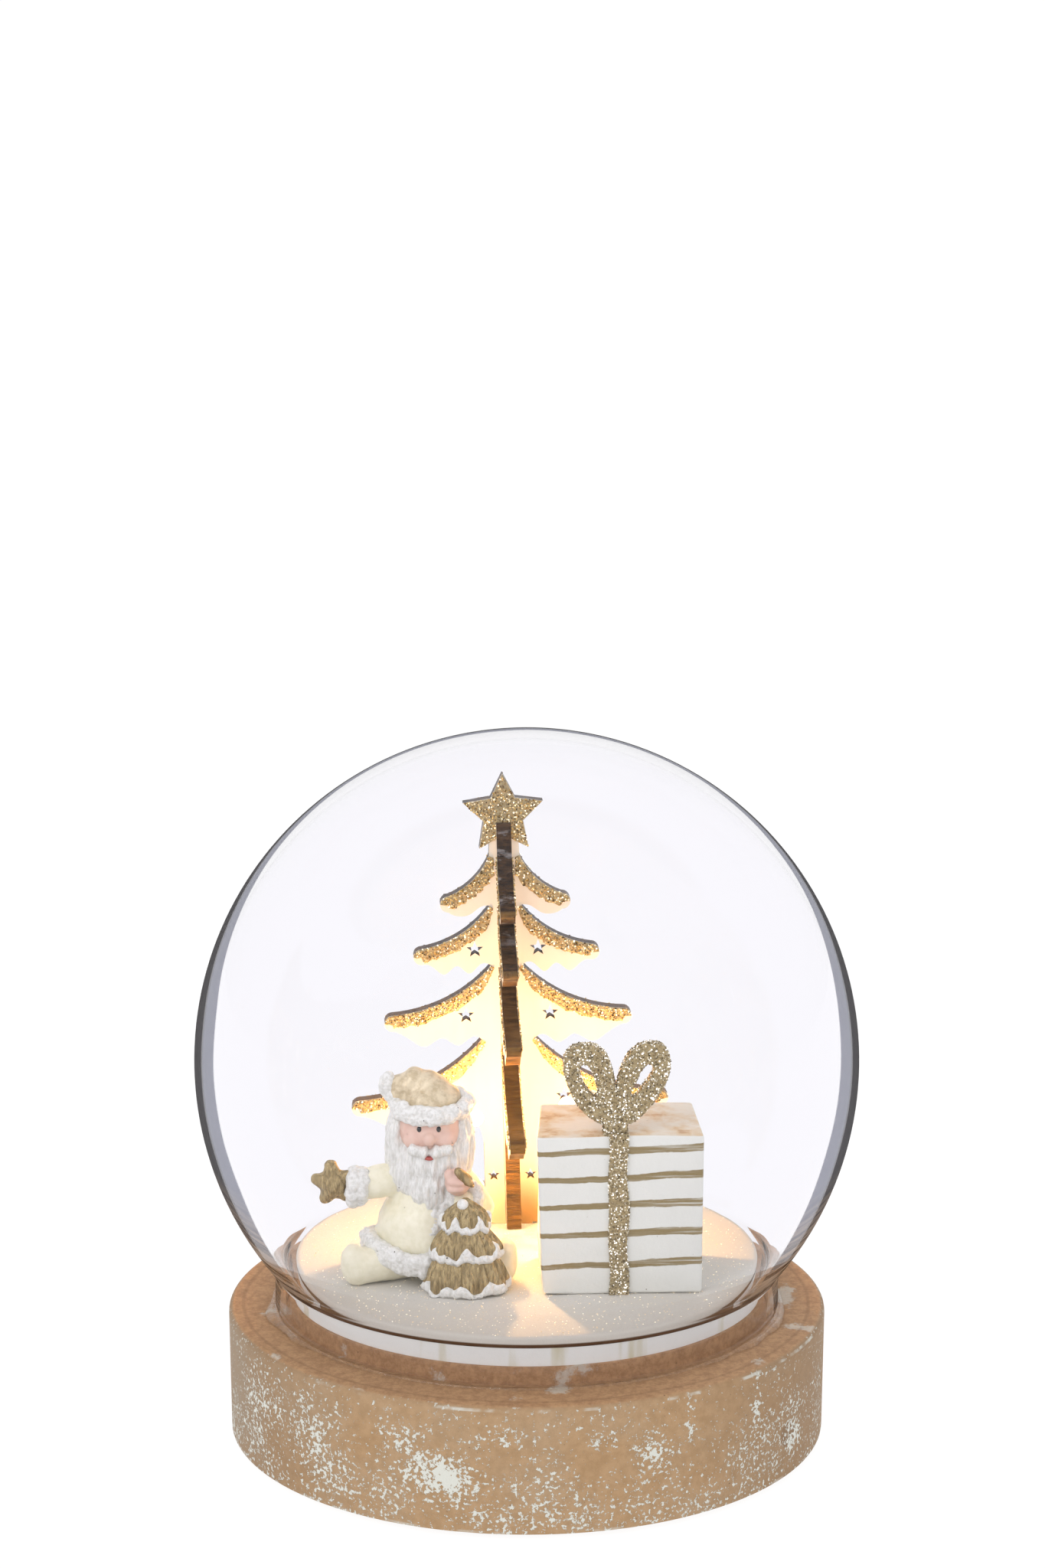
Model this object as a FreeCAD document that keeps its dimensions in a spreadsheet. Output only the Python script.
import FreeCAD, Part
import Sketcher
import math
import os

# Lit glass snow globe on a turned wooden base.  A cross-lapped plywood fir tree, a seated
# resin figure with a small tree, and a wooden present stand on a snow-covered disc inside a
# blown glass ball.  The underside holds a three-cell battery box with its cover, captive
# screw, slide switch and timer board; two lamps on stalks light the tree.
# Millimetres, +Z up, front towards -Y, origin at the centre of the underside.

doc = FreeCAD.newDocument("SnowGlobe")

DRIVING_SIZES = [
    # glass
    ("globe_radius", 60.0, "outside radius of the blown ball"),
    ("glass_wall", 1.6, "thickness of the glass"),
    ("neck_radius", 46.4, "outside radius of the straight neck"),
    ("neck_height", 7.4, "straight neck above the wood"),
    ("neck_fillet", 2.0, "blend between neck and ball"),
    # base
    ("base_radius", 55.0, "outside radius of the wooden base"),
    ("wood_height", 23.3, "wooden base without its spigot"),
    ("base_edge", 1.2, "rounded top edge of the base"),
    ("felt_radius", 52.0, "felt underlay"),
    ("felt_thick", 1.0, "felt underlay"),
    ("spigot_height", 3.0, "raised step that the neck fits over"),
    ("spigot_gap", 1.2, "radial gap between neck and spigot"),
    ("bead_width", 2.4, "clear adhesive round the neck"),
    ("bead_height", 1.5, "clear adhesive round the neck"),
    # floor of the scene
    ("platform_gap", 1.9, "disc and snow inside the neck"),
    ("platform_thick", 3.8, "white disc under the snow"),
    ("snow_thick", 1.9, "glittered snow felt"),
    # fir tree
    ("tree_x", -2.6, "axis of the tree"),
    ("tree_y", 17.0, "axis of the tree"),
    ("tree_turn", 3.0, "degrees about the vertical"),
    ("tree_lean", 1.3, "degrees to the left"),
    ("plate_thick", 2.7, "plywood of the tree"),
    ("lap_gap", 0.08, "clearance each side in the cross lap"),
    ("lap_level", 38.0, "height where the two slots meet"),
    ("foot_gap", 0.2, "trunk shoulders above the snow"),
    ("tab_half", 3.6, "half width of the trunk's tab"),
    ("tab_depth", 4.2, "tab below the shoulders"),
    ("mortise_gap", 0.35, "clearance round the tab"),
    ("trunk_half", 5.1, "half width of the trunk"),
    ("trunk_top", 16.0, "where the lowest tier leaves the trunk"),
    ("tier1_reach", 12.0, "half width of the top tier"),
    ("tier1_tip", 63.7, "height of its tips"),
    ("tier1_crotch", 71.1, "height where it leaves the spine"),
    ("tier1_spine", 2.8, "half width of the spine there"),
    ("tier1_lobe", 3.6, "depth of its lower edge under the tips"),
    ("tier2_reach", 17.2, "second tier"),
    ("tier2_tip", 53.9, "second tier"),
    ("tier2_crotch", 61.7, "second tier"),
    ("tier2_spine", 2.9, "second tier"),
    ("tier2_lobe", 4.9, "second tier"),
    ("tier3_reach", 23.0, "third tier"),
    ("tier3_tip", 41.4, "third tier"),
    ("tier3_crotch", 50.4, "third tier"),
    ("tier3_spine", 2.9, "third tier"),
    ("tier3_lobe", 6.1, "third tier"),
    ("tier4_reach", 29.7, "lowest tier"),
    ("tier4_tip", 25.2, "lowest tier"),
    ("tier4_crotch", 36.3, "lowest tier"),
    ("tier4_spine", 5.0, "lowest tier"),
    ("tier4_lobe", 6.3, "lowest tier"),
    ("branch_band", 3.0, "height of the rounded branch tips"),
    ("star_radius", 7.7, "star on the tree's top"),
    ("star_level", 78.7, "height of the star's centre"),
    ("spire_level", 77.3, "top of the crossing plate"),
    ("spire_half", 2.5, "half width of both plates at their tops"),
    ("hole_radius", 1.6, "star-shaped holes in the tiers"),
    # present
    ("gift_x", 16.9, "middle of its front edge"),
    ("gift_y", -22.4, "middle of its front edge"),
    ("gift_turn", 2.5, "degrees about the vertical"),
    ("gift_width", 29.2, "wooden block"),
    ("gift_depth", 20.0, "wooden block"),
    ("gift_height", 29.3, "wooden block"),
    ("gift_edge", 1.0, "rounded rear and side edges"),
    ("ribbon_width", 3.8, "glittered band"),
    ("ribbon_thick", 0.5, "glittered band"),
    ("ribbon_fold", 3.2, "band turned over the top edge"),
    ("bow_thick", 2.6, "glittered bow"),
    ("bow_foot", 3.4, "width of the bow's foot"),
    ("loop_long", 7.1, "half length of a loop"),
    ("loop_wide", 3.8, "half width of a loop"),
    ("loop_band", 2.4, "width of the band round a loop"),
    ("loop_tilt", 18.0, "degrees from upright"),
    ("loop_spread", 5.2, "middle of a loop from the bow's middle"),
    ("loop_level", 9.3, "middle of a loop above the block"),
    # resin figure and its small tree
    ("figure_x", -17.6, "axis of the seated figure"),
    ("figure_y", -10.0, "axis of the seated figure"),
    ("figure_height", 38.0, "seat to the top of the cap"),
    ("hand_star_radius", 4.4, "star held in the hand"),
    ("hand_star_thick", 2.2, "star held in the hand"),
    ("small_tree_x", -11.4, "axis of the small tree"),
    ("small_tree_y", -21.0, "axis of the small tree"),
    ("small_tree_height", 15.2, "small tree"),
    ("small_tree_radius", 6.9, "widest tier of the small tree"),
    # lamps
    ("lamp_a_x", -9.4, "left lamp"),
    ("lamp_a_y", 2.4, "left lamp"),
    ("lamp_b_x", 7.4, "right lamp"),
    ("lamp_b_y", 4.4, "right lamp"),
    ("lamp_radius", 1.5, "lamp body"),
    ("lamp_rim", 1.9, "flange of the lamp"),
    ("lamp_length", 4.8, "lamp body with its dome"),
    ("lamp_level", 8.6, "flange above the snow"),
    ("sleeve_radius", 1.5, "shrink sleeve on the stalk"),
    ("sleeve_gap", 0.25, "clearance of the stalk in its bores"),
    # battery box
    ("cell_radius", 5.2, "AAA cell"),
    ("cell_length", 43.6, "AAA cell without its nub"),
    ("cell_pitch", 11.5, "between cells"),
    ("nub_radius", 1.9, "positive nub"),
    ("nub_length", 0.9, "positive nub"),
    ("spring_room", 5.2, "room for a contact spring"),
    ("bay_gap", 0.5, "play round the cells"),
    ("contact_thick", 0.4, "sheet contacts"),
    ("box_wall", 1.6, "walls of the battery box"),
    ("box_height", 15.5, "battery box above its flange"),
    ("board_room", 9.6, "compartment beside the cells"),
    ("boss_room", 7.8, "solid end with the screw boss"),
    ("hinge_room", 3.4, "solid end with the pockets of the hinge tabs"),
    ("flange_margin", 5.0, "flange outside the walls"),
    ("flange_thick", 2.0, "flange of the box"),
    ("flange_corner", 6.0, "corner radius of the flange"),
    ("seat_gap", 0.25, "clearance of box and flange in the wood"),
    ("wire_room", 2.8, "space for wires over the box"),
    # cover and screws
    ("cover_thick", 1.8, "battery cover"),
    ("cover_gap", 0.25, "clearance round the cover"),
    ("cover_lap", 1.4, "cover over the box's rim"),
    ("tab_width", 6.0, "hinge tabs of the cover"),
    ("tab_reach", 2.4, "tabs beyond the hinge line"),
    ("tab_thick", 1.0, "tabs of the cover"),
    ("screw_radius", 0.95, "cover screw"),
    ("screw_length", 4.4, "cover screw under its head"),
    ("screw_head", 1.9, "radius of the head"),
    ("head_height", 1.0, "cover screw"),
    ("screw_play", 0.05, "screw in the cover"),
    ("boss_play", 0.35, "screw in the boss"),
    ("wood_screw_radius", 1.1, "screws that hold the box"),
    ("wood_screw_head", 2.1, "radius of their heads"),
    ("wood_screw_length", 7.0, "screws that hold the box"),
    ("wood_screw_x", 24.0, "their places along the box"),
    # switch and board
    ("board_length", 30.0, "timer board"),
    ("board_width", 8.4, "timer board"),
    ("board_thick", 1.0, "timer board"),
    ("board_level", 8.2, "board above the flange"),
    ("switch_length", 9.4, "slide switch"),
    ("switch_width", 4.6, "slide switch"),
    ("switch_height", 3.8, "slide switch"),
    ("switch_wall", 0.4, "sheet of its can"),
    ("switch_travel", 4.0, "travel of the knob"),
    ("knob_width", 2.0, "switch knob"),
    ("knob_play", 0.2, "knob in its slots"),
    ("wire_radius", 0.5, "insulated wire"),
]

sizes = doc.addObject("Spreadsheet::Sheet", "Sizes")
for row, (alias, number, meaning) in enumerate(DRIVING_SIZES, start=1):
    sizes.set("A%d" % row, meaning)
    sizes.set("B%d" % row, str(number))
    sizes.setAlias("B%d" % row, alias)
doc.recompute()

# Levels and places that several pieces share, as expressions on the sheet.
WOOD_TOP = "(Sizes.felt_thick + Sizes.wood_height)"
SPIGOT_TOP = "(Sizes.felt_thick + Sizes.wood_height + Sizes.spigot_height)"
SNOW_BOTTOM = "(%s + Sizes.platform_thick)" % SPIGOT_TOP
SNOW_TOP = "(%s + Sizes.snow_thick)" % SNOW_BOTTOM
NECK_INNER = "(Sizes.neck_radius - Sizes.glass_wall)"
PLATFORM_RADIUS = "(%s - Sizes.platform_gap)" % NECK_INNER
BALL_LEVEL = (
    "(%s + Sizes.neck_height + sqrt(Sizes.globe_radius ^ 2 - Sizes.neck_radius ^ 2))" % WOOD_TOP
)
FLANGE_BOTTOM = "Sizes.felt_thick"
RIM = "(Sizes.felt_thick + Sizes.flange_thick)"
BOX_TOP = "(%s + Sizes.box_height)" % RIM
BAY_LENGTH = "(Sizes.cell_length + Sizes.nub_length + Sizes.spring_room + 2 * Sizes.contact_thick)"
BAY_WIDTH = "(2 * Sizes.cell_pitch + 2 * Sizes.cell_radius + 2 * Sizes.bay_gap)"
BOX_LENGTH = "(%s + Sizes.boss_room + Sizes.hinge_room + 2 * Sizes.box_wall)" % BAY_LENGTH
BOX_WIDTH = "(%s + Sizes.board_room + 3 * Sizes.box_wall)" % BAY_WIDTH
BAY_LEFT = "(Sizes.box_wall + Sizes.hinge_room - %s / 2)" % BOX_LENGTH
BAY_RIGHT = "(%s + %s)" % (BAY_LEFT, BAY_LENGTH)
BAY_FRONT = "(Sizes.box_wall - %s / 2)" % BOX_WIDTH
BAY_BACK = "(%s + %s)" % (BAY_FRONT, BAY_WIDTH)
BAY_MIDDLE = "(%s + %s / 2)" % (BAY_FRONT, BAY_WIDTH)
BOARD_MIDDLE = "(%s / 2 - Sizes.box_wall - Sizes.board_room / 2)" % BOX_WIDTH
FLANGE_LENGTH = "(%s + 2 * Sizes.flange_margin)" % BOX_LENGTH
FLANGE_WIDTH = "(%s + 2 * Sizes.flange_margin)" % BOX_WIDTH
CAVITY_TOP = "(%s + Sizes.wire_room)" % BOX_TOP
HINGE_X = "(%s - Sizes.cover_lap)" % BAY_LEFT
COVER_MIDDLE = "(%s - Sizes.cover_thick / 2 - 0.1)" % RIM
TAB_BOTTOM = "(%s - 0.1)" % COVER_MIDDLE
COVER_RIGHT = "(%s / 2 - 0.4)" % BOX_LENGTH
COVER_WIDTH = "(%s + 2 * Sizes.cover_lap)" % BAY_WIDTH
SCREW_X = "(%s + Sizes.boss_room / 2)" % BAY_RIGHT
STALK_BORE = "(Sizes.sleeve_radius + Sizes.sleeve_gap)"


def value(expression):
    """The number that an expression on the sheet stands for."""
    result = sizes.evalExpression(expression)
    return float(getattr(result, "Value", result))


def size(alias):
    return float(sizes.get(alias))


def bind(item, **expressions):
    """Binds properties to expressions; a double underscore stands for a dot."""
    for name, expression in expressions.items():
        item.setExpression(name.replace("__", "."), expression)
    return item


# ---------------------------------------------------------------- PartDesign helpers


def new_body(label):
    body = doc.addObject("PartDesign::Body", label)
    body.Label = label
    return body


def new_sketch(body, name, plane="XY_Plane", at=("0", "0", "0"), turn="0"):
    """A sketch on one of its own body's planes, moved and turned by expressions."""
    sketch = body.newObject("Sketcher::SketchObject", name)
    origin_plane = [f for f in body.Origin.OriginFeatures if f.Role == plane][0]
    sketch.AttachmentSupport = [(origin_plane, "")]
    sketch.MapMode = "FlatFace"
    for axis, expression in zip("xyz", at):
        sketch.setExpression("AttachmentOffset.Base." + axis, expression)
    if turn != "0":
        offset = sketch.AttachmentOffset
        offset.Rotation = FreeCAD.Rotation(FreeCAD.Vector(0, 0, 1), 1.0)
        sketch.AttachmentOffset = offset
        sketch.setExpression("AttachmentOffset.Rotation.Angle", turn)
    return sketch


def tie(sketch, kind, geometry, vertex, expression):
    """Ties one coordinate of a vertex to an expression."""
    number = value(expression)
    if abs(number) < 1e-9:
        sketch.addConstraint(
            Sketcher.Constraint("PointOnObject", geometry, vertex, -2 if kind == "DistanceX" else -1)
        )
        return
    index = sketch.addConstraint(Sketcher.Constraint(kind, -1, 1, geometry, vertex, number))
    sketch.setExpression("Constraints[%d]" % index, expression)


def add_polygon(sketch, corners):
    """A closed polygon whose corners are pairs of expressions."""
    points = [FreeCAD.Vector(value(x), value(y), 0) for x, y in corners]
    first = sketch.GeometryCount
    count = len(points)
    for i, point in enumerate(points):
        sketch.addGeometry(Part.LineSegment(point, points[(i + 1) % count]), False)
    for i in range(count):
        following = first + (i + 1) % count
        sketch.addConstraint(Sketcher.Constraint("Coincident", first + i, 2, following, 1))
    for i, (x, y) in enumerate(corners):
        tie(sketch, "DistanceX", first + i, 1, x)
        tie(sketch, "DistanceY", first + i, 1, y)
    return sketch


def add_rectangle(sketch, length, width, x="0", y="0"):
    """A rectangle of that length and width, centred on x, y."""
    left, right = "(%s) - (%s) / 2" % (x, length), "(%s) + (%s) / 2" % (x, length)
    low, high = "(%s) - (%s) / 2" % (y, width), "(%s) + (%s) / 2" % (y, width)
    return add_polygon(sketch, [(left, low), (right, low), (right, high), (left, high)])


def add_circle(sketch, radius, x="0", y="0"):
    centre = FreeCAD.Vector(value(x), value(y), 0)
    index = sketch.addGeometry(
        Part.Circle(centre, FreeCAD.Vector(0, 0, 1), value(radius)), False
    )
    tie(sketch, "DistanceX", index, 3, x)
    tie(sketch, "DistanceY", index, 3, y)
    constraint = sketch.addConstraint(Sketcher.Constraint("Radius", index, value(radius)))
    sketch.setExpression("Constraints[%d]" % constraint, radius)
    return sketch


def pad(body, sketch, length):
    feature = body.newObject("PartDesign::Pad", sketch.Name + "Pad")
    feature.Profile = sketch
    feature.Length = value(length)
    feature.setExpression("Length", length)
    sketch.Visibility = False
    doc.recompute()
    return feature


def pocket(body, sketch, length, upwards=True):
    """Cuts the sketch's outline; upwards cuts towards +Z. It must take material away."""
    before = body.Shape.Volume
    feature = body.newObject("PartDesign::Pocket", sketch.Name + "Pocket")
    feature.Profile = sketch
    feature.Length = value(length)
    feature.setExpression("Length", length)
    feature.Reversed = upwards
    doc.recompute()
    if body.Shape.Volume >= before - 1e-6:
        raise RuntimeError("%s cuts nothing" % feature.Name)
    return feature


def fillet_edges(body, base, radius, wanted):
    """Rounds the edges of the body's tip for which wanted(edge) holds."""
    names = [
        "Edge%d" % (i + 1) for i, edge in enumerate(base.Shape.Edges) if wanted(edge)
    ]
    if not names:
        raise RuntimeError("no edge to round on %s" % body.Label)
    feature = body.newObject("PartDesign::Fillet", base.Name + "Fillet")
    feature.Base = (base, names)
    feature.Radius = value(radius)
    feature.setExpression("Radius", radius)
    doc.recompute()
    return feature


def is_upright(edge):
    """True for a straight edge along Z."""
    if edge.Degenerated or not isinstance(edge.Curve, Part.Line):
        return False
    start, end = edge.Vertexes[0].Point, edge.Vertexes[-1].Point
    return abs(start.x - end.x) < 1e-6 and abs(start.y - end.y) < 1e-6


def is_ring(edge, radius, level):
    """True for a circle of that radius about the Z axis at that height."""
    if edge.Degenerated or not isinstance(edge.Curve, Part.Circle):
        return False
    return abs(edge.Curve.Radius - radius) < 1e-3 and abs(edge.Curve.Center.z - level) < 1e-3


# ---------------------------------------------------------------- Part helpers


def cylinder(name, radius, height, at=("0", "0", "0")):
    item = doc.addObject("Part::Cylinder", name)
    bind(item, Radius=radius, Height=height)
    for axis, expression in zip("xyz", at):
        item.setExpression("Placement.Base." + axis, expression)
    return item


def block(name, length, width, height, at):
    """A box centred on at in x and y, standing on at's z."""
    item = doc.addObject("Part::Box", name)
    bind(item, Length=length, Width=width, Height=height)
    bind(
        item,
        Placement__Base__x="(%s) - (%s) / 2" % (at[0], length),
        Placement__Base__y="(%s) - (%s) / 2" % (at[1], width),
        Placement__Base__z=at[2],
    )
    return item


def fuse(name, pieces):
    item = doc.addObject("Part::MultiFuse", name)
    item.Shapes = pieces
    return item


def cut(name, base, tool):
    item = doc.addObject("Part::Cut", name)
    item.Base, item.Tool = base, tool
    return item


def made(label, shape, placement=None):
    """A piece whose shape is built directly, with its place set afterwards."""
    item = doc.addObject("Part::Feature", label)
    item.Label = label
    item.Shape = shape
    if placement is not None:
        item.Placement = placement
    return item


def star_points(radius, inner_share, centre=(0.0, 0.0), turn=90.0):
    """The ten corners of a five-pointed star."""
    points = []
    for i in range(10):
        reach = radius if i % 2 == 0 else radius * inner_share
        angle = math.radians(turn + 36.0 * i)
        points.append((centre[0] + reach * math.cos(angle), centre[1] + reach * math.sin(angle)))
    return points


def prism(points, thickness):
    """An upright plate in the XZ plane, centred on Y = 0, from corners (x, z)."""
    corners = [FreeCAD.Vector(x, -thickness / 2, z) for x, z in points]
    face = Part.Face(Part.makePolygon(corners + corners[:1]))
    return face.extrude(FreeCAD.Vector(0, thickness, 0))


# ---------------------------------------------------------------- wooden base and felt


def make_base():
    """Turned wooden base: a disc with a spigot for the glass, hollowed for the battery box."""
    body = new_body("base_body")
    spigot_radius = "(%s - Sizes.spigot_gap)" % NECK_INNER
    profile = new_sketch(body, "BaseProfile", "XZ_Plane")
    add_polygon(
        profile,
        [
            ("0", FLANGE_BOTTOM),
            ("Sizes.base_radius", FLANGE_BOTTOM),
            ("Sizes.base_radius", WOOD_TOP),
            (spigot_radius, WOOD_TOP),
            (spigot_radius, SPIGOT_TOP),
            ("0", SPIGOT_TOP),
        ],
    )
    turned = body.newObject("PartDesign::Revolution", "BaseTurned")
    turned.Profile = profile
    turned.ReferenceAxis = (profile, ["V_Axis"])
    turned.Angle = 360.0
    doc.recompute()
    edge_level, edge_radius = value(WOOD_TOP), size("base_radius")
    fillet_edges(
        body, turned, "Sizes.base_edge", lambda e: is_ring(e, edge_radius, edge_level)
    )
    recess = new_sketch(body, "FlangeRecess", at=("0", "0", FLANGE_BOTTOM))
    add_rectangle(
        recess,
        "%s + 2 * Sizes.seat_gap" % FLANGE_LENGTH,
        "%s + 2 * Sizes.seat_gap" % FLANGE_WIDTH,
    )
    pocket(body, recess, "Sizes.flange_thick")
    cavity = new_sketch(body, "BoxCavity", at=("0", "0", RIM))
    add_rectangle(
        cavity, "%s + 2 * Sizes.seat_gap" % BOX_LENGTH, "%s + 2 * Sizes.seat_gap" % BOX_WIDTH
    )
    pocket(body, cavity, "%s - %s" % (CAVITY_TOP, RIM))
    bores = new_sketch(body, "StalkBores", at=("0", "0", CAVITY_TOP))
    add_circle(bores, STALK_BORE, "Sizes.lamp_a_x", "Sizes.lamp_a_y")
    add_circle(bores, STALK_BORE, "Sizes.lamp_b_x", "Sizes.lamp_b_y")
    pocket(body, bores, "%s - %s + 1" % (SPIGOT_TOP, CAVITY_TOP))
    pilots = new_sketch(body, "ScrewPilots", at=("0", "0", RIM))
    for along in ("Sizes.wood_screw_x", "-Sizes.wood_screw_x"):
        for across in ("1", "-1"):
            add_circle(
                pilots,
                "Sizes.wood_screw_radius + 0.03",
                along,
                "%s * (%s + Sizes.flange_margin) / 2" % (across, BOX_WIDTH),
            )
    pocket(body, pilots, "Sizes.wood_screw_length - Sizes.flange_thick + 1")
    return body


def make_felt():
    """Felt underlay with an opening round the battery box's flange."""
    body = new_body("felt_underlay")
    disc = new_sketch(body, "FeltDisc")
    add_circle(disc, "Sizes.felt_radius")
    pad(body, disc, "Sizes.felt_thick")
    window = new_sketch(body, "FeltWindow")
    add_rectangle(window, "%s + 1" % FLANGE_LENGTH, "%s + 1" % FLANGE_WIDTH)
    opening = pocket(body, window, "Sizes.felt_thick")
    fillet_edges(body, opening, "Sizes.flange_corner + 0.5", is_upright_inside)
    return body


def is_upright_inside(edge):
    """True for the upright corner edges of a window, which aren't a seam."""
    return is_upright(edge) and abs(edge.Vertexes[0].Point.y) > 1.0


# ---------------------------------------------------------------- glass and adhesive


def make_glass():
    """Blown ball that runs down into a short straight neck, open at the bottom."""
    ball = doc.addObject("Part::Sphere", "BallOuter")
    bind(ball, Radius="Sizes.globe_radius", Placement__Base__z=BALL_LEVEL)
    neck = cylinder(
        "NeckOuter", "Sizes.neck_radius", "%s - %s" % (BALL_LEVEL, WOOD_TOP), ("0", "0", WOOD_TOP)
    )
    outer = fuse("GlassOuter", [ball, neck])
    hollow = doc.addObject("Part::Sphere", "BallInner")
    bind(hollow, Radius="Sizes.globe_radius - Sizes.glass_wall", Placement__Base__z=BALL_LEVEL)
    throat = cylinder(
        "NeckInner", NECK_INNER, "%s - %s + 1" % (BALL_LEVEL, WOOD_TOP), ("0", "0", "%s - 1" % WOOD_TOP)
    )
    inner = fuse("GlassInner", [hollow, throat])
    shell = cut("GlassShell", outer, inner)
    below = cylinder("BelowNeck", "Sizes.globe_radius", WOOD_TOP, ("0", "0", "0"))
    dome = cut("GlassTrimmed", shell, below)
    doc.recompute()
    bend = value(WOOD_TOP) + size("neck_height")
    names = [
        i + 1
        for i, edge in enumerate(dome.Shape.Edges)
        if is_ring(edge, size("neck_radius"), bend)
    ]
    rounded = doc.addObject("Part::Fillet", "glass_dome")
    rounded.Label = "glass_dome"
    rounded.Base = dome
    rounded.Edges = [(n, size("neck_fillet"), size("neck_fillet")) for n in names]
    return rounded


def make_bead():
    """Clear adhesive run round the foot of the neck."""
    body = new_body("adhesive_bead")
    section = new_sketch(body, "BeadSection", "XZ_Plane")
    inside = "Sizes.neck_radius + 0.02"
    add_polygon(
        section,
        [
            (inside, WOOD_TOP),
            ("Sizes.neck_radius + Sizes.bead_width", WOOD_TOP),
            ("Sizes.neck_radius + Sizes.bead_width * 0.45", "%s + Sizes.bead_height * 0.45" % WOOD_TOP),
            (inside, "%s + Sizes.bead_height" % WOOD_TOP),
        ],
    )
    ring = body.newObject("PartDesign::Revolution", "BeadRing")
    ring.Profile = section
    ring.ReferenceAxis = (section, ["V_Axis"])
    ring.Angle = 360.0
    return body


# ---------------------------------------------------------------- floor of the scene


def make_floor_disc(label, radius, level, thickness, tab_share):
    """A disc with a cross mortise for the tree and bores for the two lamp stalks."""
    body = new_body(label)
    outline = new_sketch(body, label.title().replace("_", "") + "Outline", at=("0", "0", level))
    add_circle(outline, radius)
    pad(body, outline, thickness)
    slot_long = "2 * Sizes.tab_half + 2 * Sizes.mortise_gap"
    slot_wide = "Sizes.plate_thick + 2 * Sizes.mortise_gap"
    depth = tab_share
    mouth = "%s + %s - (%s)" % (level, thickness, depth)
    for name, length, width in (
        ("MainMortise", slot_long, slot_wide),
        ("CrossMortise", slot_wide, slot_long),
    ):
        mortise = new_sketch(
            body,
            label.title().replace("_", "") + name,
            at=("Sizes.tree_x", "Sizes.tree_y", mouth),
            turn="Sizes.tree_turn",
        )
        add_rectangle(mortise, length, width)
        pocket(body, mortise, "%s + 0.5" % depth)
    stalks = new_sketch(body, label.title().replace("_", "") + "Stalks", at=("0", "0", level))
    add_circle(stalks, STALK_BORE, "Sizes.lamp_a_x", "Sizes.lamp_a_y")
    add_circle(stalks, STALK_BORE, "Sizes.lamp_b_x", "Sizes.lamp_b_y")
    pocket(body, stalks, thickness)
    return body


def make_floor():
    into_platform = "(Sizes.tab_depth - Sizes.foot_gap - Sizes.snow_thick + 0.4)"
    platform = make_floor_disc(
        "platform_disc", PLATFORM_RADIUS, SPIGOT_TOP, "Sizes.platform_thick", into_platform
    )
    snow = make_floor_disc(
        "snow_layer", PLATFORM_RADIUS, SNOW_BOTTOM, "Sizes.snow_thick", "Sizes.snow_thick"
    )
    return [platform, snow]


# ---------------------------------------------------------------- fir tree

BRANCH_SAG = 0.1  # sag of a branch's upper edge as a share of its chord
TIERS = (1, 2, 3, 4)


def tier(number):
    """The named sizes of one tier of branches."""
    prefix = "tier%d_" % number
    return {key: size(prefix + key) for key in ("reach", "tip", "crotch", "spine", "lobe")}


def branch_edges(number):
    """Right-hand edges of one tier: sagging top, rounded tip, wavy lower edge."""
    this = tier(number)
    half_band = size("branch_band") / 2
    start = FreeCAD.Vector(this["spine"], 0, this["crotch"])
    end = FreeCAD.Vector(this["reach"] - half_band, 0, this["tip"])
    chord = end - start
    middle = (start + end) / 2 + FreeCAD.Vector(chord.z, 0, -chord.x) * BRANCH_SAG
    cap = FreeCAD.Vector(this["reach"], 0, this["tip"] - half_band)
    under = FreeCAD.Vector(this["reach"] - half_band, 0, this["tip"] - 2 * half_band)
    if number < TIERS[-1]:
        following = tier(number + 1)
        root = FreeCAD.Vector(following["spine"], 0, following["crotch"])
    else:
        root = FreeCAD.Vector(size("trunk_half"), 0, size("trunk_top"))
    low = this["tip"] - this["lobe"]
    reach = this["reach"]
    if number == 1:
        waves = [(0.76, size("branch_band") - this["lobe"] + 0.5), (0.56, 0.0), (0.40, 1.3)]
    else:
        waves = [(0.80, 1.5), (0.67, 0.0), (0.53, 1.5), (0.41, 0.0), (0.29, 1.6)]
    points = [under]
    points += [FreeCAD.Vector(share * reach, 0, low + rise) for share, rise in waves]
    points += [root]
    wavy = Part.BSplineCurve()
    wavy.interpolate(points)
    return [
        Part.Arc(start, middle, end).toShape(),
        Part.Arc(end, cap, under).toShape(),
        wavy.toShape(),
    ]


def tree_half(top):
    """Edges of the tree's right half from its top down to the middle of the tab."""
    first = tier(1)
    spire = FreeCAD.Vector(size("spire_half"), 0, top)
    crotch = FreeCAD.Vector(first["spine"], 0, first["crotch"])
    edges = [
        Part.LineSegment(FreeCAD.Vector(0, 0, top), spire).toShape(),
        Part.LineSegment(spire, crotch).toShape(),
    ]
    for number in TIERS:
        edges += branch_edges(number)
    tab, depth = size("tab_half"), -size("tab_depth")
    corners = [
        (size("trunk_half"), size("trunk_top")),
        (size("trunk_half"), 0.0),
        (tab, 0.0),
        (tab, depth),
        (0.0, depth),
    ]
    vectors = [FreeCAD.Vector(x, 0, z) for x, z in corners]
    edges += [Part.LineSegment(a, b).toShape() for a, b in zip(vectors, vectors[1:])]
    return edges


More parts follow.
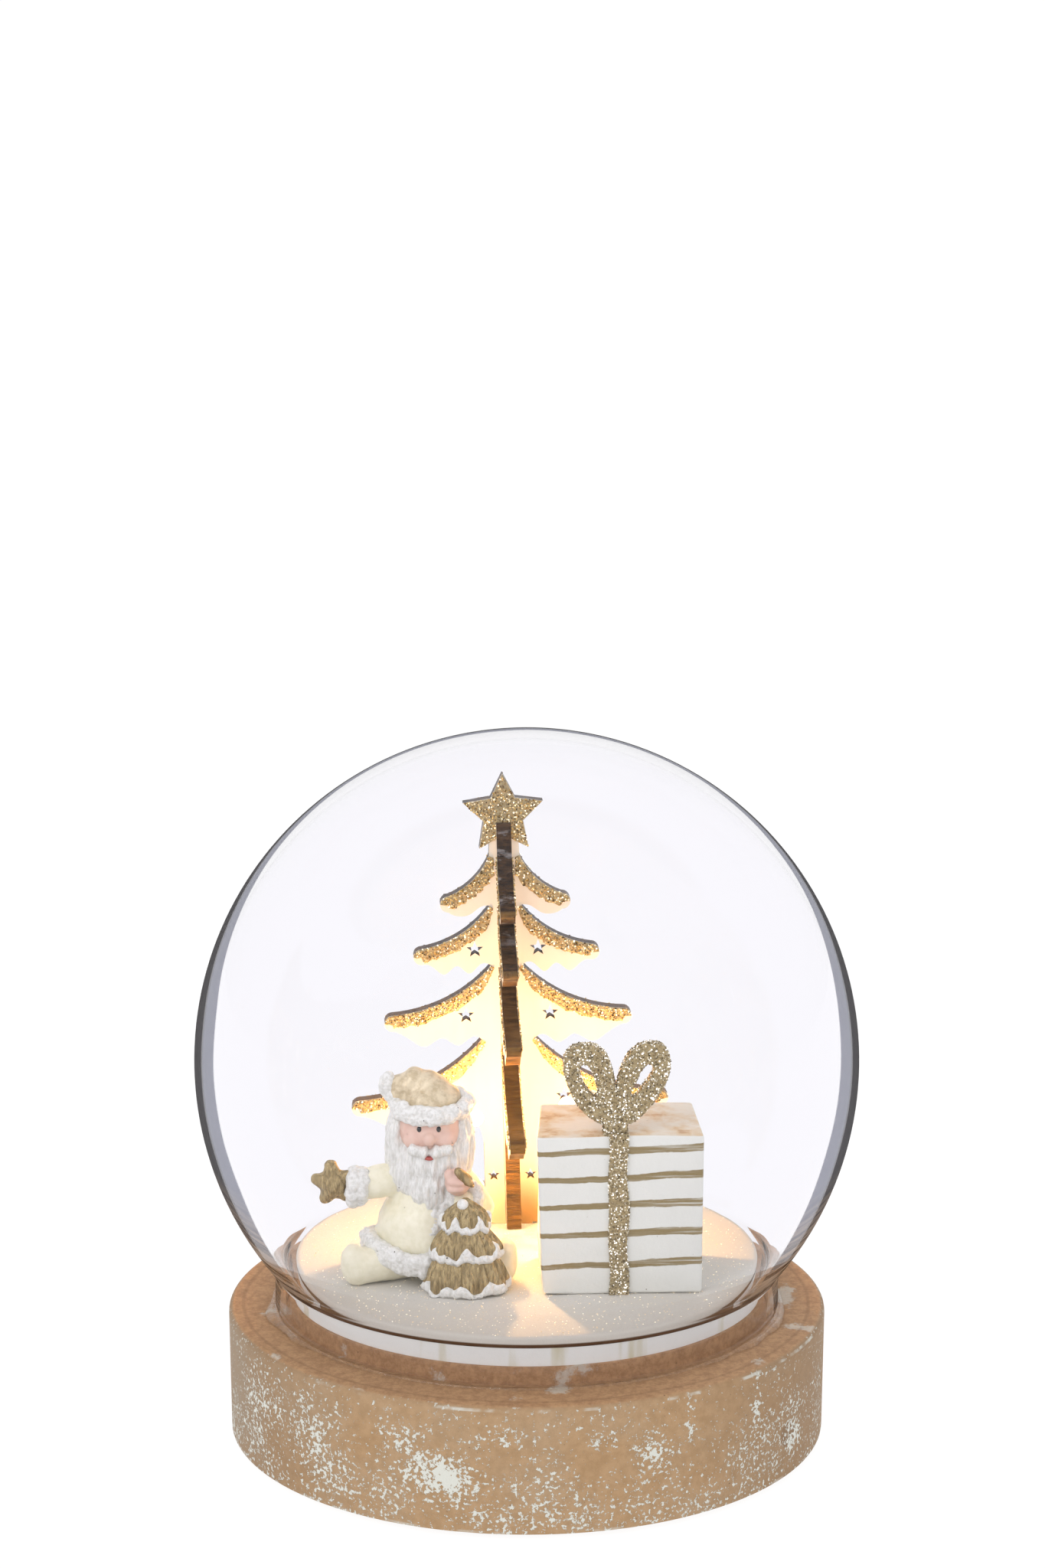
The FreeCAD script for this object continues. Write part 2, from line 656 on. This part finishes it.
def tree_plate(top):
    """Both halves of the outline as one plate of the plywood's thickness."""
    half = tree_half(top)
    flip = FreeCAD.Matrix()
    flip.scale(-1, 1, 1)
    mirrored = [edge.mirror(FreeCAD.Vector(0, 0, 0), FreeCAD.Vector(1, 0, 0)) for edge in half]
    outline = Part.Wire(Part.__sortEdges__(half + mirrored))
    thickness = size("plate_thick")
    face = Part.Face(outline)
    plate = face.extrude(FreeCAD.Vector(0, thickness, 0))
    plate.translate(FreeCAD.Vector(0, -thickness / 2, 0))
    holes = []
    for number in TIERS[1:]:
        this = tier(number)
        for side in (-1, 1):
            centre = (side * 0.34 * this["reach"], this["tip"] - 0.4)
            holes.append(star_points(size("hole_radius"), 0.42, centre))
    for side in (-1, 1):
        centre = (side * 0.68 * size("trunk_half"), 0.6 * size("trunk_top"))
        holes.append(star_points(size("hole_radius") * 0.75, 0.42, centre))
    for corners in holes:
        plate = plate.cut(prism(corners, thickness * 3))
    return plate


def lap_slot(low, high):
    """The slot of the cross lap, as wide as the other plate and its clearance."""
    width = size("plate_thick") + 2 * size("lap_gap")
    slot = Part.makeBox(width, 3 * size("plate_thick"), high - low)
    slot.translate(FreeCAD.Vector(-width / 2, -1.5 * size("plate_thick"), low))
    return slot


def tree_placement(quarter_turn):
    """Where both plates stand: on the snow, turned, and leaning a little to the left."""
    foot = FreeCAD.Vector(size("tree_x"), size("tree_y"), value(SNOW_TOP) + size("foot_gap"))
    up, across = FreeCAD.Vector(0, 0, 1), FreeCAD.Vector(0, 1, 0)
    lean = FreeCAD.Rotation(across, -size("tree_lean"))
    turned = FreeCAD.Rotation(up, size("tree_turn") + quarter_turn)
    return FreeCAD.Placement(foot, lean.multiply(turned))


def make_tree():
    """Two plywood plates slotted into each other; only the main one carries the star."""
    lap = size("lap_level")
    star = prism(
        star_points(size("star_radius"), 0.5, (0.0, size("star_level"))), size("plate_thick")
    )
    main = tree_plate(size("star_level")).fuse(star).removeSplitter()
    main = main.cut(lap_slot(-size("tab_depth") - 1, lap))
    cross = tree_plate(size("spire_level"))
    cross = cross.cut(lap_slot(lap + 2 * size("lap_gap"), size("spire_level") + 1))
    return [
        made("tree_main_plate", main, tree_placement(0.0)),
        made("tree_cross_plate", cross, tree_placement(90.0)),
    ]


# ---------------------------------------------------------------- present


def gift_placement():
    """The middle of the block's lower front edge, turned about the vertical."""
    return FreeCAD.Placement(
        FreeCAD.Vector(size("gift_x"), size("gift_y"), value(SNOW_TOP)),
        FreeCAD.Rotation(FreeCAD.Vector(0, 0, 1), size("gift_turn")),
    )


def make_gift():
    """A painted wooden block with a glittered band down its front, and a flat cut bow."""
    body = new_body("gift_block")
    face = new_sketch(body, "GiftPlan", at=("0", "0", "0"))
    add_rectangle(face, "Sizes.gift_width", "Sizes.gift_depth", "0", "Sizes.gift_depth / 2")
    raised = pad(body, face, "Sizes.gift_height")
    fillet_edges(body, raised, "Sizes.gift_edge", is_upright)
    body.Placement = gift_placement()

    wide, thick = size("ribbon_width"), size("ribbon_thick")
    high, fold = size("gift_height"), size("ribbon_fold")
    front = Part.makeBox(wide, thick, high + thick)
    front.translate(FreeCAD.Vector(-wide / 2, -thick - 0.01, 0))
    over = Part.makeBox(wide, fold + thick, thick)
    over.translate(FreeCAD.Vector(-wide / 2, -thick - 0.01, high + 0.01))
    ribbon = made("gift_ribbon", front.fuse(over).removeSplitter(), gift_placement())

    thickness, tilt = size("bow_thick"), size("loop_tilt")
    pieces = []
    for side in (-1, 1):
        ring = bow_loop(thickness)
        ring.rotate(FreeCAD.Vector(0, 0, 0), FreeCAD.Vector(0, 1, 0), side * tilt)
        ring.translate(FreeCAD.Vector(side * size("loop_spread"), 0, size("loop_level")))
        pieces.append(ring)
    foot = size("bow_foot")
    knot = prism([(-foot / 2, 0), (foot / 2, 0), (foot * 0.9, 4.6), (-foot * 0.9, 4.6)], thickness)
    bow = pieces[0].fuse(pieces[1]).fuse(knot).removeSplitter()
    stand = gift_placement().multiply(
        FreeCAD.Placement(
            FreeCAD.Vector(-0.8, fold / 2 + 0.1, high + thick + 0.03), FreeCAD.Rotation()
        )
    )
    return [body, ribbon, made("gift_bow", bow, stand)]


def bow_loop(thickness):
    """One upright oval loop of the bow, open in its middle."""
    long_half, wide_half, band = size("loop_long"), size("loop_wide"), size("loop_band")
    normal, along = FreeCAD.Vector(0, 1, 0), FreeCAD.Vector(0, 0, 1)
    faces = []
    for inset in (0.0, band):
        major, minor = long_half - inset, wide_half - inset
        oval = Part.Ellipse(
            along * major, FreeCAD.Vector(1, 0, 0) * minor, FreeCAD.Vector(0, 0, 0)
        )
        faces.append(Part.Face(Part.Wire(oval.toShape())))
    solids = [face.extrude(normal * thickness) for face in faces]
    for solid in solids:
        solid.translate(normal * (-thickness / 2))
    return solids[0].cut(solids[1])


# ---------------------------------------------------------------- resin castings


def limb(start, end, first_radius, last_radius):
    """A tapered limb with round ends."""
    axis = FreeCAD.Vector(*end) - FreeCAD.Vector(*start)
    length = axis.Length
    if abs(first_radius - last_radius) < 1e-6:
        shaft = Part.makeCylinder(first_radius, length, FreeCAD.Vector(*start), axis)
    else:
        shaft = Part.makeCone(first_radius, last_radius, length, FreeCAD.Vector(*start), axis)
    ends = [
        Part.makeSphere(first_radius, FreeCAD.Vector(*start)),
        Part.makeSphere(last_radius, FreeCAD.Vector(*end)),
    ]
    return shaft.multiFuse(ends)


def make_figures():
    """Seated bearded figure with the star that it holds, and the small fir before it."""
    tall = size("figure_height")
    coat = Part.makeCone(0.235 * tall, 0.165 * tall, 0.55 * tall)
    hem = Part.makeTorus(0.215 * tall, 0.055 * tall)
    hem.translate(FreeCAD.Vector(0, 0, 0.12 * tall))
    head = Part.makeSphere(0.185 * tall, FreeCAD.Vector(0, -0.02 * tall, 0.69 * tall))
    beard = Part.makeSphere(0.15 * tall, FreeCAD.Vector(0, -0.09 * tall, 0.54 * tall))
    brim = Part.makeTorus(0.15 * tall, 0.05 * tall)
    brim.translate(FreeCAD.Vector(0, -0.01 * tall, 0.80 * tall))
    cap = limb((0, 0, 0.82 * tall), (-0.08 * tall, 0.01 * tall, 0.90 * tall), 0.14 * tall, 0.095 * tall)
    tip = limb(
        (-0.08 * tall, 0, 0.91 * tall), (-0.17 * tall, 0, 0.89 * tall), 0.085 * tall, 0.06 * tall
    )
    arm_right = limb(
        (-0.12 * tall, 0, 0.46 * tall), (-0.36 * tall, -0.1 * tall, 0.45 * tall), 0.09 * tall, 0.085 * tall
    )
    arm_left = limb(
        (0.14 * tall, 0, 0.42 * tall), (0.22 * tall, -0.1 * tall, 0.36 * tall), 0.09 * tall, 0.08 * tall
    )
    hand_left = limb(
        (0.22 * tall, -0.1 * tall, 0.36 * tall), (0.14 * tall, -0.2 * tall, 0.48 * tall), 0.07 * tall, 0.065 * tall
    )
    leg_right = limb(
        (-0.1 * tall, -0.05 * tall, 0.1 * tall), (-0.32 * tall, -0.18 * tall, 0.09 * tall), 0.095 * tall, 0.088 * tall
    )
    leg_left = limb(
        (0.12 * tall, -0.05 * tall, 0.1 * tall), (0.34 * tall, -0.14 * tall, 0.1 * tall), 0.095 * tall, 0.09 * tall
    )
    star = prism(star_points(size("hand_star_radius"), 0.55, turn=100.0), size("hand_star_thick"))
    star.translate(FreeCAD.Vector(-0.455 * tall, -0.12 * tall, 0.47 * tall))
    solid = coat.multiFuse(
        [hem, head, beard, brim, cap, tip, arm_right, arm_left, hand_left, leg_right, leg_left, star]
    )
    floor_cut = Part.makeBox(4 * tall, 4 * tall, tall)
    floor_cut.translate(FreeCAD.Vector(-2 * tall, -2 * tall, -tall))
    solid = solid.cut(floor_cut)
    solid.translate(FreeCAD.Vector(size("figure_x"), size("figure_y"), value(SNOW_TOP) + 0.02))
    solid = max(solid.cut(small_fir(0.08)).Solids, key=lambda piece: piece.Volume)
    return [made("resin_figure", solid), made("small_tree", small_fir(0.0))]


def small_fir(grow):
    """The small fir in three tiers, larger all round by grow, in its own place."""
    tall, wide = size("small_tree_height"), size("small_tree_radius")
    tiers = []
    for share, low, high, top in ((1.0, 0.0, 0.44, 0.55), (0.8, 0.34, 0.68, 0.36), (0.55, 0.62, 1.0, 0.12)):
        foot = FreeCAD.Vector(0, 0, low * tall)
        tiers.append(
            Part.makeCone(wide * share + grow, wide * top + grow, (high - low) * tall + grow, foot)
        )
    solid = tiers[0].multiFuse(tiers[1:])
    solid.translate(
        FreeCAD.Vector(size("small_tree_x"), size("small_tree_y"), value(SNOW_TOP) + 0.02)
    )
    return solid


# ---------------------------------------------------------------- lamps and wires


def make_lamp(letter, label):
    """A 3 mm lamp with its flange, on a stalk in shrink sleeve that goes down through the floor."""
    x, y = "Sizes.lamp_%s_x" % letter, "Sizes.lamp_%s_y" % letter
    flange_level = "(%s + Sizes.lamp_level)" % SNOW_TOP
    flange = cylinder("Flange" + letter, "Sizes.lamp_rim", "0.8", (x, y, flange_level))
    barrel = cylinder(
        "Barrel" + letter,
        "Sizes.lamp_radius",
        "Sizes.lamp_length - Sizes.lamp_radius",
        (x, y, flange_level),
    )
    dome = doc.addObject("Part::Sphere", "Dome" + letter)
    bind(
        dome,
        Radius="Sizes.lamp_radius",
        Placement__Base__x=x,
        Placement__Base__y=y,
        Placement__Base__z="%s + Sizes.lamp_length - Sizes.lamp_radius" % flange_level,
    )
    lamp = fuse(label, [flange, barrel, dome])
    lamp.Label = label
    stalk_label = label + "_sleeve"
    bottom = "(%s + 0.4)" % CAVITY_TOP
    outside = cylinder(
        "Sleeve" + letter,
        "Sizes.sleeve_radius",
        "%s - %s - 0.02" % (flange_level, bottom),
        (x, y, bottom),
    )
    inside = cylinder(
        "SleeveBore" + letter,
        "2 * Sizes.wire_radius + 0.15",
        "%s - %s" % (flange_level, bottom),
        (x, y, bottom),
    )
    sleeve = cut(stalk_label, outside, inside)
    sleeve.Label = stalk_label
    return [lamp, sleeve]


def tube(points, radius, bend):
    """A round wire along straight runs joined by tangent arcs of one radius."""
    vectors = [FreeCAD.Vector(*p) for p in points]
    edges, last = [], vectors[0]
    for before, corner, after in zip(vectors, vectors[1:], vectors[2:]):
        incoming = (corner - before).normalize()
        outgoing = (after - corner).normalize()
        turn = incoming.getAngle(outgoing)
        setback = bend * math.tan(turn / 2)
        enter, leave = corner - incoming * setback, corner + outgoing * setback
        inward = (outgoing - incoming).normalize()
        centre = corner + inward * (bend / math.cos(turn / 2))
        middle = centre - inward * bend
        edges.append(Part.LineSegment(last, enter).toShape())
        edges.append(Part.Arc(enter, middle, leave).toShape())
        last = leave
    edges.append(Part.LineSegment(last, vectors[-1]).toShape())
    path = Part.Wire(edges)
    start_direction = (vectors[1] - vectors[0]).normalize()
    ring = Part.Wire(Part.Circle(vectors[0], start_direction, radius).toShape())
    swept = path.makePipeShell([ring], True, True)
    expected = path.Length * math.pi * radius ** 2
    if abs(swept.Volume / expected - 1) > 0.02:
        raise RuntimeError("a wire's volume is %.3f, not %.3f" % (swept.Volume, expected))
    return swept


def make_wires(letter, label, exit_x):
    """The lamp's two insulated leads, from the timer board over the box and up its stalk."""
    radius = size("wire_radius")
    x, y = size("lamp_%s_x" % letter), size("lamp_%s_y" % letter)
    board_top = value(RIM) + size("board_level") + size("board_thick") + 0.02
    over_box = (value(BOX_TOP) + value(CAVITY_TOP)) / 2
    top = value(SNOW_TOP) + size("lamp_level") - 0.05
    row = value(BOARD_MIDDLE)
    solids = []
    for side in (-1, 1):
        aside = side * (radius + 0.02)
        points = [
            (exit_x + aside, row, board_top),
            (exit_x + aside, row, over_box + 0.01 * side),
            (x + aside, y, over_box + 0.01 * side),
            (x + aside, y, top),
        ]
        solids.append(tube(points, radius, 1.2))
    return made(label, Part.Compound(solids))


# ---------------------------------------------------------------- battery box


def make_box():
    """Moulded battery box: flange, cell bay, screw boss and a compartment for the board."""
    body = new_body("battery_box")
    plate = new_sketch(body, "FlangePlate", at=("0", "0", FLANGE_BOTTOM))
    add_rectangle(plate, FLANGE_LENGTH, FLANGE_WIDTH)
    flange = pad(body, plate, "Sizes.flange_thick")
    fillet_edges(body, flange, "Sizes.flange_corner", is_upright)
    walls = new_sketch(body, "BoxOutline", at=("0", "0", RIM))
    add_rectangle(walls, BOX_LENGTH, BOX_WIDTH)
    pad(body, walls, "Sizes.box_height")
    bay = new_sketch(body, "CellBay", at=("0", "0", RIM))
    add_rectangle(
        bay, BAY_LENGTH, BAY_WIDTH, "%s + %s / 2" % (BAY_LEFT, BAY_LENGTH), BAY_MIDDLE
    )
    pocket(body, bay, "Sizes.box_height - Sizes.box_wall")
    compartment = new_sketch(body, "BoardRoom", at=("0", "0", RIM))
    add_rectangle(
        compartment,
        "%s - 2 * Sizes.box_wall" % BOX_LENGTH,
        "Sizes.board_room",
        "0",
        BOARD_MIDDLE,
    )
    pocket(body, compartment, "Sizes.box_height - Sizes.box_wall")
    board_top = "(%s + Sizes.board_level + Sizes.board_thick + 0.02)" % RIM
    posts = new_sketch(body, "BoardPosts", at=("0", "0", board_top))
    for side in ("1", "-1"):
        add_rectangle(
            posts,
            "2",
            "4",
            "Sizes.switch_travel / 2 + %s * (Sizes.board_length / 2 - 1.8)" % side,
            BOARD_MIDDLE,
        )
    pad(body, posts, "%s - Sizes.box_wall + 0.2 - %s" % (BOX_TOP, board_top))
    window = new_sketch(body, "CoverWindow", at=("0", "0", FLANGE_BOTTOM))
    add_rectangle(
        window,
        "%s - %s + Sizes.cover_thick / 2 + 2 * Sizes.cover_gap" % (COVER_RIGHT, HINGE_X),
        "%s + 2 * Sizes.cover_gap" % COVER_WIDTH,
        "(%s + %s - Sizes.cover_thick / 2) / 2" % (COVER_RIGHT, HINGE_X),
        BAY_MIDDLE,
    )
    pocket(body, window, "Sizes.flange_thick")
    # pockets in which the cover's tabs swing upwards over the lip of the flange
    slots = new_sketch(body, "TabPockets", at=("0", "0", "%s - 0.15" % TAB_BOTTOM))
    for side in ("1", "-1"):
        add_rectangle(
            slots,
            "Sizes.tab_reach + 1.0",
            "Sizes.tab_width + 0.6",
            "%s - Sizes.tab_reach / 2" % HINGE_X,
            "%s + %s * %s / 4" % (BAY_MIDDLE, side, COVER_WIDTH),
        )
    pocket(body, slots, "Sizes.tab_reach + Sizes.tab_thick")
    boss = new_sketch(body, "BossBore", at=("0", "0", RIM))
    add_circle(boss, "Sizes.screw_radius + Sizes.boss_play", SCREW_X, BAY_MIDDLE)
    pocket(body, boss, "Sizes.screw_length + 1.5")
    knob_slot = new_sketch(body, "KnobSlot", at=("0", "0", FLANGE_BOTTOM))
    add_rectangle(
        knob_slot,
        "Sizes.switch_travel + Sizes.knob_width + 2 * Sizes.knob_play + 1",
        "Sizes.knob_width + 2 * Sizes.knob_play + 0.6",
        "Sizes.switch_travel / 2",
        BOARD_MIDDLE,
    )
    pocket(body, knob_slot, "Sizes.flange_thick")
    screws = new_sketch(body, "FlangeHoles", at=("0", "0", FLANGE_BOTTOM))
    for along in ("Sizes.wood_screw_x", "-Sizes.wood_screw_x"):
        for across in ("1", "-1"):
            add_circle(
                screws,
                "Sizes.wood_screw_head + 0.1",
                along,
                "%s * (%s + Sizes.flange_margin) / 2" % (across, BOX_WIDTH),
            )
    pocket(body, screws, "1.1")
    shanks = new_sketch(body, "FlangeShanks", at=("0", "0", FLANGE_BOTTOM))
    for along in ("Sizes.wood_screw_x", "-Sizes.wood_screw_x"):
        for across in ("1", "-1"):
            add_circle(
                shanks,
                "Sizes.wood_screw_radius + 0.1",
                along,
                "%s * (%s + Sizes.flange_margin) / 2" % (across, BOX_WIDTH),
            )
    pocket(body, shanks, "Sizes.flange_thick")
    outlets = new_sketch(body, "WireOutlets", at=("0", "0", "%s - Sizes.box_wall" % BOX_TOP))
    for place in (WIRE_A_X, WIRE_B_X):
        add_rectangle(outlets, "4 * Sizes.wire_radius + 0.6", "2.2", place, BOARD_MIDDLE)
    pocket(body, outlets, "Sizes.box_wall")
    return body


WIRE_A_X = "-8"
WIRE_B_X = "11"


def make_cover():
    """Battery cover with a round hinge end, two tabs and a recess for its captive screw."""
    body = new_body("battery_cover")
    bottom = "(%s - Sizes.cover_thick / 2)" % COVER_MIDDLE
    plan = new_sketch(body, "CoverPlan", at=("0", "0", bottom))
    add_rectangle(
        plan,
        "%s - %s" % (COVER_RIGHT, HINGE_X),
        COVER_WIDTH,
        "(%s + %s) / 2" % (COVER_RIGHT, HINGE_X),
        BAY_MIDDLE,
    )
    pad(body, plan, "Sizes.cover_thick")
    end = new_sketch(body, "HingeEnd", "XZ_Plane")
    half_width = "(%s / 2)" % COVER_WIDTH
    end.setExpression("AttachmentOffset.Base.z", "-(%s + %s)" % (BAY_MIDDLE, half_width))
    add_circle(end, "Sizes.cover_thick / 2", HINGE_X, COVER_MIDDLE)
    pad(body, end, "2 * %s" % half_width)
    tabs = new_sketch(body, "Tabs", at=("0", "0", TAB_BOTTOM))
    for side in ("1", "-1"):
        add_rectangle(
            tabs,
            "Sizes.tab_reach + 1.0",
            "Sizes.tab_width",
            "%s + (1.0 - Sizes.tab_reach) / 2" % HINGE_X,
            "%s + %s * %s / 4" % (BAY_MIDDLE, side, COVER_WIDTH),
        )
    pad(body, tabs, "Sizes.tab_thick - 0.01")
    recess = new_sketch(body, "HeadRecess", at=("0", "0", bottom))
    add_circle(recess, "Sizes.screw_head + 0.2", SCREW_X, BAY_MIDDLE)
    pocket(body, recess, "Sizes.head_height + 0.1")
    hole = new_sketch(body, "ScrewHole", at=("0", "0", bottom))
    add_circle(hole, "Sizes.screw_radius + Sizes.screw_play", SCREW_X, BAY_MIDDLE)
    pocket(body, hole, "Sizes.cover_thick")
    grips = new_sketch(body, "FingerGrip", at=("0", "0", bottom))
    for step in range(5):
        add_rectangle(grips, "0.8", "12", "%s + %s" % (SCREW_X, -9.0 - 1.8 * step), BAY_MIDDLE)
    pocket(body, grips, "0.4")
    return body


def make_cover_screw():
    """Cross-head screw that stays in the cover: thread modelled as its plain core."""
    head_level = "(%s - Sizes.cover_thick / 2 + 0.05)" % COVER_MIDDLE
    head = cylinder("CoverScrewHead", "Sizes.screw_head", "Sizes.head_height", (SCREW_X, BAY_MIDDLE, head_level))
    shank = cylinder(
        "CoverScrewShank",
        "Sizes.screw_radius",
        "Sizes.head_height + Sizes.screw_length",
        (SCREW_X, BAY_MIDDLE, head_level),
    )
    solid = fuse("CoverScrewSolid", [head, shank])
    arms = [
        block("CrossA", "2.2", "0.5", "0.7", (SCREW_X, BAY_MIDDLE, "%s - 0.05" % head_level)),
        block("CrossB", "0.5", "2.2", "0.7", (SCREW_X, BAY_MIDDLE, "%s - 0.05" % head_level)),
    ]
    screw = cut("cover_screw", solid, fuse("CrossRecess", arms))
    screw.Label = "cover_screw"
    return screw


def make_box_screws():
    """Four countersunk screws that hold the box's flange to the wood."""
    pieces = []
    index = 0
    for along in ("Sizes.wood_screw_x", "-Sizes.wood_screw_x"):
        for across in ("1", "-1"):
            index += 1
            place = (
                along,
                "%s * (%s + Sizes.flange_margin) / 2" % (across, BOX_WIDTH),
                "%s + 0.1" % FLANGE_BOTTOM,
            )
            head = cylinder("BoxScrewHead%d" % index, "Sizes.wood_screw_head", "0.95", place)
            shank = cylinder(
                "BoxScrewShank%d" % index, "Sizes.wood_screw_radius", "Sizes.wood_screw_length", place
            )
            solid = fuse("BoxScrewSolid%d" % index, [head, shank])
            slot = block("BoxScrewSlot%d" % index, "3.4", "0.6", "0.6", place)
            pieces.append(cut("BoxScrew%d" % index, solid, slot))
    group = doc.addObject("Part::Compound", "box_screws")
    group.Label = "box_screws"
    group.Links = pieces
    return group


def cell_places():
    """The y of each cell, and whether its nub points to the right."""
    middle = value(BAY_MIDDLE)
    return [(middle + (i - 1) * size("cell_pitch"), i % 2 == 0) for i in range(3)]


def cell_level():
    return value(RIM) + 0.6 + size("cell_radius")


def make_cells():
    """Three AAA cells, alternate ones turned round."""
    left = value(BAY_LEFT) + size("contact_thick")
    right = value(BAY_RIGHT) - size("contact_thick")
    solids = []
    for y, nub_right in cell_places():
        direction = 1 if nub_right else -1
        nub_end = right - 0.05 if nub_right else left + 0.05
        shoulder = nub_end - direction * size("nub_length")
        axis = FreeCAD.Vector(-direction, 0, 0)
        can = Part.makeCylinder(
            size("cell_radius"), size("cell_length"), FreeCAD.Vector(shoulder, y, cell_level()), axis
        )
        nub = Part.makeCylinder(
            size("nub_radius"), size("nub_length"), FreeCAD.Vector(nub_end, y, cell_level()), axis
        )
        solids.append(can.fuse(nub))
    return made("battery_cells", Part.Compound(solids))


def make_contacts():
    """Sheet contacts at both ends of each cell, and a spring at each flat end."""
    sheet, side = size("contact_thick"), 9.0
    left, right = value(BAY_LEFT), value(BAY_RIGHT)
    plates, springs = [], []
    for y, nub_right in cell_places():
        for x in (left + 0.02, right - sheet - 0.02):
            plate = Part.makeBox(sheet, side, side)
            plate.translate(FreeCAD.Vector(x, y - side / 2, cell_level() - side / 2))
            plates.append(plate)
        springs.append(contact_spring(y, nub_right))
    return [
        made("contact_plates", Part.Compound(plates)),
        made("contact_springs", Part.Compound(springs)),
    ]


def contact_spring(y, nub_right):
    """A spring of three turns between the contact plate and the cell's flat end."""
    wire, coil, turns, steps = 0.3, 3.2, 3, 12
    direction = 1 if nub_right else -1
    room = size("spring_room") - 0.05 - 2 * wire
    base = value(BAY_LEFT) if nub_right else value(BAY_RIGHT)
    first = base + direction * (size("contact_thick") + wire + 0.08)
    points = []
    for i in range(turns * steps + 1):
        angle = 2 * math.pi * i / steps
        along = first + direction * room * i / (turns * steps)
        points.append(
            FreeCAD.Vector(along, y + coil * math.cos(angle), cell_level() + coil * math.sin(angle))
        )
    line = Part.BSplineCurve()
    line.interpolate(points)
    path = Part.Wire(line.toShape())
    ring = Part.Wire(Part.Circle(points[0], line.tangent(0.0)[0], wire).toShape())
    swept = path.makePipeShell([ring], True, True)
    if abs(swept.Volume / (path.Length * math.pi * wire ** 2) - 1) > 0.02:
        raise RuntimeError("a contact spring's volume is wrong")
    return swept


# ---------------------------------------------------------------- switch and timer board


def make_board():
    """Timer board with its chip, over the slide switch in the side compartment."""
    level = "(%s + Sizes.board_level)" % RIM
    board = block(
        "timer_board",
        "Sizes.board_length",
        "Sizes.board_width",
        "Sizes.board_thick",
        ("Sizes.switch_travel / 2", BOARD_MIDDLE, level),
    )
    board.Label = "timer_board"
    chip = block(
        "timer_chip",
        "4.9",
        "3.9",
        "1.4",
        ("Sizes.switch_travel / 2 - 1", BOARD_MIDDLE, "%s + Sizes.board_thick + 0.02" % level),
    )
    chip.Label = "timer_chip"
    return [board, chip]


def make_switch():
    """Slide switch: a sheet can with a slot, and the slider whose knob reaches the flange."""
    board_bottom = "(%s + Sizes.board_level - 0.02)" % RIM
    can_bottom = "(%s - Sizes.switch_height)" % board_bottom
    middle = ("Sizes.switch_travel / 2", BOARD_MIDDLE)
    outside = block(
        "CanOutside",
        "Sizes.switch_length",
        "Sizes.switch_width",
        "Sizes.switch_height",
        (*middle, can_bottom),
    )
    inside = block(
        "CanInside",
        "Sizes.switch_length - 2 * Sizes.switch_wall",
        "Sizes.switch_width - 2 * Sizes.switch_wall",
        "Sizes.switch_height - 2 * Sizes.switch_wall",
        (*middle, "%s + Sizes.switch_wall" % can_bottom),
    )
    slot = block(
        "CanSlot",
        "Sizes.switch_travel + Sizes.knob_width + 2 * Sizes.knob_play",
        "Sizes.knob_width + 2 * Sizes.knob_play",
        "Sizes.switch_wall + 0.1",
        (*middle, "%s - 0.05" % can_bottom),
    )
    can = cut("switch_can", outside, fuse("CanHollow", [inside, slot]))
    can.Label = "switch_can"
    carriage_length = (
        "(Sizes.switch_length - 2 * Sizes.switch_wall - Sizes.switch_travel - 2 * Sizes.knob_play)"
    )
    carriage = block(
        "Carriage",
        carriage_length,
        "Sizes.switch_width - 2 * Sizes.switch_wall - 0.2",
        "1.6",
        ("0", BOARD_MIDDLE, "%s + Sizes.switch_wall + 0.1" % can_bottom),
    )
    knob_bottom = "(%s + 0.4)" % FLANGE_BOTTOM
    knob = block(
        "Knob",
        "Sizes.knob_width",
        "Sizes.knob_width",
        "%s + Sizes.switch_wall + 0.5 - %s" % (can_bottom, knob_bottom),
        ("0", BOARD_MIDDLE, knob_bottom),
    )
    slider = fuse("switch_slider", [carriage, knob])
    slider.Label = "switch_slider"
    return [can, slider]


# ---------------------------------------------------------------- build and write


def build():
    pieces = [make_base(), make_felt(), make_glass(), make_bead()]
    pieces += make_floor()
    pieces += make_tree()
    pieces += make_gift()
    pieces += make_figures()
    pieces += make_lamp("a", "lamp_left") + make_lamp("b", "lamp_right")
    pieces += [
        make_wires("a", "wires_left", value(WIRE_A_X)),
        make_wires("b", "wires_right", value(WIRE_B_X)),
    ]
    pieces += [make_box(), make_cover(), make_cover_screw(), make_box_screws(), make_cells()]
    pieces += make_contacts()
    pieces += make_board()
    pieces += make_switch()
    doc.recompute()
    return pieces


def check(pieces):
    """Stops if any object failed, or a piece isn't made of sound closed solids."""
    for item in doc.Objects:
        if "Invalid" in item.State or "Error" in item.State:
            raise RuntimeError("%s failed: %s" % (item.Label, item.State))
    for piece in pieces:
        shape = piece.Shape
        if shape.isNull() or not shape.isValid() or not shape.Solids:
            raise RuntimeError("%s has no sound solid" % piece.Label)
        if any(solid.Volume <= 0 for solid in shape.Solids):
            raise RuntimeError("%s has an inside-out solid" % piece.Label)


def write(pieces):
    os.makedirs("parts", exist_ok=True)
    for piece in pieces:
        piece.Shape.exportStep(os.path.join("parts", piece.Label + ".step"))
        box = piece.Shape.BoundBox
        print(
            "%-18s solids %2d  z %6.2f to %6.2f  volume %10.1f"
            % (piece.Label, len(piece.Shape.Solids), box.ZMin, box.ZMax, piece.Shape.Volume)
        )


all_pieces = build()
check(all_pieces)
write(all_pieces)
